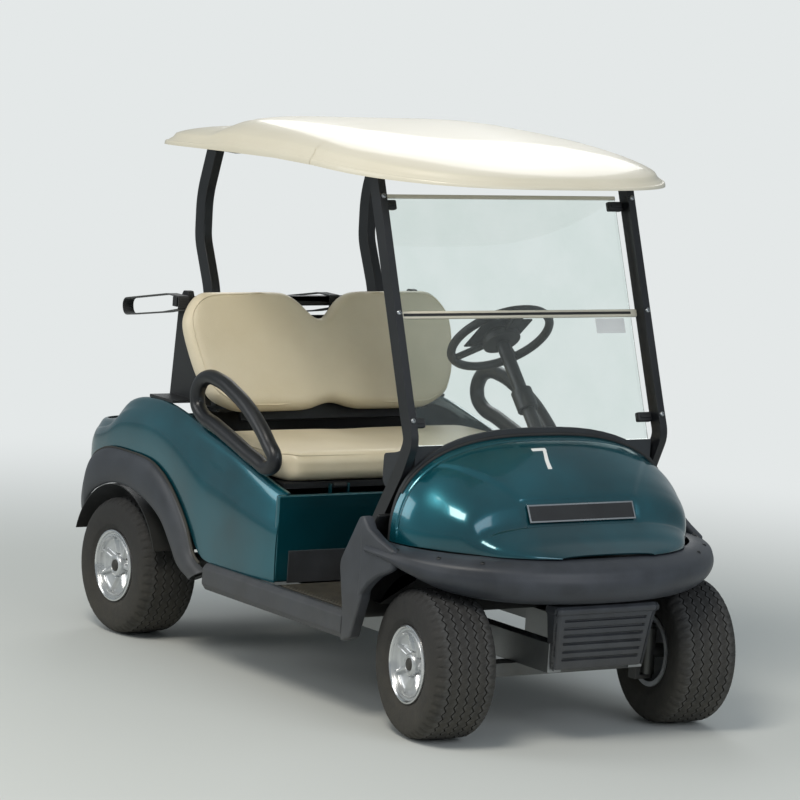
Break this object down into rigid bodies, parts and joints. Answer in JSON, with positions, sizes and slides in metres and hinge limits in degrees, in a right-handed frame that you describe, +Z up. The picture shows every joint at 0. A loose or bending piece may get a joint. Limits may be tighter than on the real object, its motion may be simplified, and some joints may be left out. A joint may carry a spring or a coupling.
{
  "type": "two-seat golf cart",
  "caption": "Electric golf cart with a bench seat, moulded roof, folding windscreen, bag rack, steered front wheels and a lifting seat.",
  "frame": {"origin": "middle of the cart's length and width, on the ground", "axes": "+X points forward, +Y to the cart's left, +Z up"},
  "size_m": [2.324, 1.2, 1.7439],
  "materials": {
    "paint_teal": "glossy metallic teal paint on moulded panels",
    "moulded_charcoal": "satin grained moulding",
    "black_plastic": "matte moulded",
    "black_steel": "satin black powder coat",
    "cream_vinyl": "smooth satin vinyl",
    "ivory_moulding": "satin ivory thermoplastic",
    "clear_acrylic": "clear",
    "silver_cover": "metallic silver wheel cover",
    "steel": "dull",
    "aluminium": "mill finish",
    "tyre_rubber": "worn treaded rubber",
    "rubber": "ribbed mat",
    "webbing": "woven strap"
  },
  "bodies": {
    "chassis": {"chassis_rails": "aluminium", "chassis_crossmembers": "aluminium", "floor_pan": "black_plastic", "floor_mat": "rubber", "sills": "moulded_charcoal", "kick_posts": "moulded_charcoal", "front_cowl": "paint_teal", "front_bumper": "moulded_charcoal", "bumper_box": "black_plastic", "wheel_liners": "black_plastic", "dashboard": "black_plastic", "name_plate": "black_plastic", "rear_body": "paint_teal", "seat_plinth": "paint_teal", "rear_fenders": "moulded_charcoal", "rear_bumper": "moulded_charcoal", "bagwell": "black_plastic", "bag_rack": "black_plastic", "bag_straps": "webbing", "seat_back": "cream_vinyl", "seat_back_panel": "black_plastic", "battery_pack": "black_plastic", "drive_motor": "black_steel", "hip_rests": "black_plastic", "roof": "ivory_moulding", "rear_roof_struts": "black_steel", "front_roof_struts": "black_steel", "windscreen_upper": "clear_acrylic", "windscreen_lower": "clear_acrylic", "windscreen_rail": "ivory_moulding", "steering_column": "black_steel", "pedals": "black_steel", "front_suspension": "steel", "rear_axle": "steel", "rear_springs": "steel"},
    "seat_lid": {"seat_pan": "black_plastic", "seat_cushion": "cream_vinyl"},
    "steering_wheel": {"steering_wheel": "black_plastic"},
    "right_knuckle": {"right_knuckle": "steel"},
    "left_knuckle": {"left_knuckle": "steel"},
    "front_right_wheel": {"front_right_tyre": "tyre_rubber", "front_right_wheel": "silver_cover"},
    "front_left_wheel": {"front_left_tyre": "tyre_rubber", "front_left_wheel": "silver_cover"},
    "rear_right_wheel": {"rear_right_tyre": "tyre_rubber", "rear_right_wheel": "silver_cover"},
    "rear_left_wheel": {"rear_left_tyre": "tyre_rubber", "rear_left_wheel": "silver_cover"}
  },
  "joints": [
    {"name": "right_steer", "type": "hinge", "parent": "chassis", "child": "right_knuckle", "pos_m": [0.871, -0.345, 0.223], "axis": [0, 0, 1], "range_deg": [-18, 34]},
    {"name": "left_steer", "type": "hinge", "parent": "chassis", "child": "left_knuckle", "pos_m": [0.871, 0.345, 0.223], "axis": [0, 0, 1], "range_deg": [-18, 34]},
    {"name": "steering_wheel_turn", "type": "hinge", "parent": "chassis", "child": "steering_wheel", "pos_m": [0.089, 0.27, 1.081], "axis": [-0.6561, 0, 0.7547], "range_deg": [-270, 510]},
    {"name": "front_right_spin", "type": "hinge", "parent": "right_knuckle", "child": "front_right_wheel", "pos_m": [0.85806, -0.4371, 0.223], "axis": [0.1392, 0.9903, 0], "continuous": true},
    {"name": "front_left_spin", "type": "hinge", "parent": "left_knuckle", "child": "front_left_wheel", "pos_m": [0.88394, 0.4371, 0.223], "axis": [0.1392, 0.9903, 0], "continuous": true},
    {"name": "rear_right_spin", "type": "hinge", "parent": "chassis", "child": "rear_right_wheel", "pos_m": [-0.793, -0.489, 0.223], "axis": [0, 1, 0], "continuous": true},
    {"name": "rear_left_spin", "type": "hinge", "parent": "chassis", "child": "rear_left_wheel", "pos_m": [-0.793, 0.489, 0.223], "axis": [0, 1, 0], "continuous": true},
    {"name": "seat_lift", "type": "hinge", "parent": "chassis", "child": "seat_lid", "pos_m": [0.079, 0, 0.624], "axis": [0, 1, 0], "range_deg": [0, 45]}
  ],
  "couplings": [
    {"joint": "left_steer", "follows": "right_steer", "ratio": 1},
    {"joint": "steering_wheel_turn", "follows": "right_steer", "ratio": 15}
  ]
}
